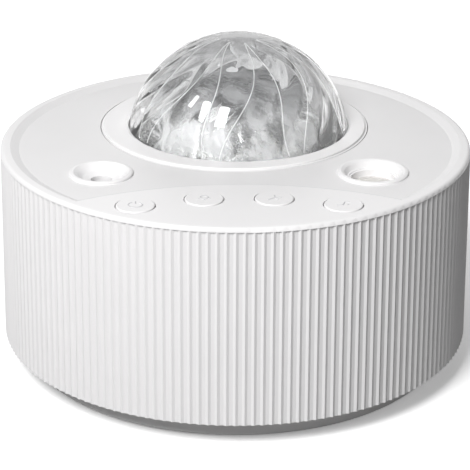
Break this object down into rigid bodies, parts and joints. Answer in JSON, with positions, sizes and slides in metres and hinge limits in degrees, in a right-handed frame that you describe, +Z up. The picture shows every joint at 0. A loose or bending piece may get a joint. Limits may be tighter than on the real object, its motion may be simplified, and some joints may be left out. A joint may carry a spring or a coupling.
{
  "type": "star night light projector",
  "caption": "Round night light projector with a clear rippled dome that throws waves, star and moon light ports, and push buttons on a panel.",
  "frame": {"origin": "middle of the footprint, on the surface it stands on", "axes": "+Z up, buttons towards -Y, power socket at +Y"},
  "size_m": [0.1666, 0.1666, 0.112],
  "materials": {
    "white_gloss": "glossy moulded",
    "white_wall": "satin moulded",
    "base_grey": "fine texture",
    "clear_dome": "clear, polished",
    "clear_wave": "clear, rippled",
    "clear_lens": "clear, polished",
    "deck_plastic": "fine texture",
    "gear_plastic": "natural acetal",
    "steel": "zinc plated",
    "brass": "turned",
    "heat_metal": "bead blasted",
    "circuit_green": "solder mask",
    "lamp_yellow": "phosphor",
    "switch_black": "moulded",
    "pad_rubber": "matt",
    "film_dark": "printed film",
    "motor_can": "drawn can",
    "cone_paper": "pressed fibre",
    "magnet_grey": "sintered"
  },
  "bodies": {
    "housing": {"body_shell": "white_wall", "base_cover": "base_grey", "foot_pads": "pad_rubber", "base_screws": "steel", "top_cover": "white_gloss", "dome_ring": "white_gloss", "dome": "clear_dome", "drive_motor": "motor_can", "motor_screws": "steel", "star_wheel_pin": "steel", "chassis": "deck_plastic", "chassis_screws": "steel", "top_screws": "steel", "heat_sink": "heat_metal", "led_board": "circuit_green", "led_emitters": "lamp_yellow", "led_lens_cluster": "clear_lens", "laser_module": "brass", "laser_bracket": "deck_plastic", "star_port_collar": "white_gloss", "star_port_window": "clear_lens", "moon_port_collar": "white_gloss", "moon_lens": "clear_lens", "moon_barrel": "switch_black", "moon_slide": "film_dark", "moon_led_board": "circuit_green", "switch_bodies": "switch_black", "control_board": "circuit_green", "control_screws": "steel", "main_board": "circuit_green", "board_screws": "steel", "usb_board": "circuit_green", "power_socket": "steel", "speaker_gasket": "pad_rubber", "speaker_frame": "motor_can", "speaker_magnet": "magnet_grey", "speaker_cone": "cone_paper"},
    "turntable": {"turntable_gear": "gear_plastic", "wave_lens": "clear_wave"},
    "pinion": {"motor_pinion": "gear_plastic", "motor_shaft": "steel"},
    "star_disc": {"star_wheel": "gear_plastic", "star_film": "film_dark"},
    "power_key": {"power_button": "white_gloss", "power_plunger": "switch_black"},
    "light_key": {"light_button": "white_gloss", "light_plunger": "switch_black"},
    "star_key": {"star_button": "white_gloss", "star_plunger": "switch_black"},
    "sound_key": {"sound_button": "white_gloss", "sound_plunger": "switch_black"}
  },
  "joints": [
    {"name": "wave_turn", "type": "hinge", "parent": "housing", "child": "turntable", "pos_m": [0, 0.019, 0.062], "axis": [0, 0, 1], "continuous": true},
    {"name": "pinion_spin", "type": "hinge", "parent": "housing", "child": "pinion", "pos_m": [0, -0.03, 0.062], "axis": [0, 0, 1], "continuous": true},
    {"name": "star_wheel_spin", "type": "hinge", "parent": "housing", "child": "star_disc", "pos_m": [-0.036, -0.03148, 0.062], "axis": [0, 0, 1], "continuous": true},
    {"name": "power_press", "type": "slide", "parent": "housing", "child": "power_key", "axis": [0, 0, -1], "range_m": [0, 0.0005], "stiffness_N_per_m": 800, "springref_m": -0.0005},
    {"name": "light_press", "type": "slide", "parent": "housing", "child": "light_key", "axis": [0, 0, -1], "range_m": [0, 0.0005], "stiffness_N_per_m": 800, "springref_m": -0.0005},
    {"name": "star_press", "type": "slide", "parent": "housing", "child": "star_key", "axis": [0, 0, -1], "range_m": [0, 0.0005], "stiffness_N_per_m": 800, "springref_m": -0.0005},
    {"name": "sound_press", "type": "slide", "parent": "housing", "child": "sound_key", "axis": [0, 0, -1], "range_m": [0, 0.0005], "stiffness_N_per_m": 800, "springref_m": -0.0005}
  ],
  "couplings": [
    {"joint": "pinion_spin", "follows": "wave_turn", "ratio": -6},
    {"joint": "star_wheel_spin", "follows": "wave_turn", "ratio": -2.1}
  ]
}
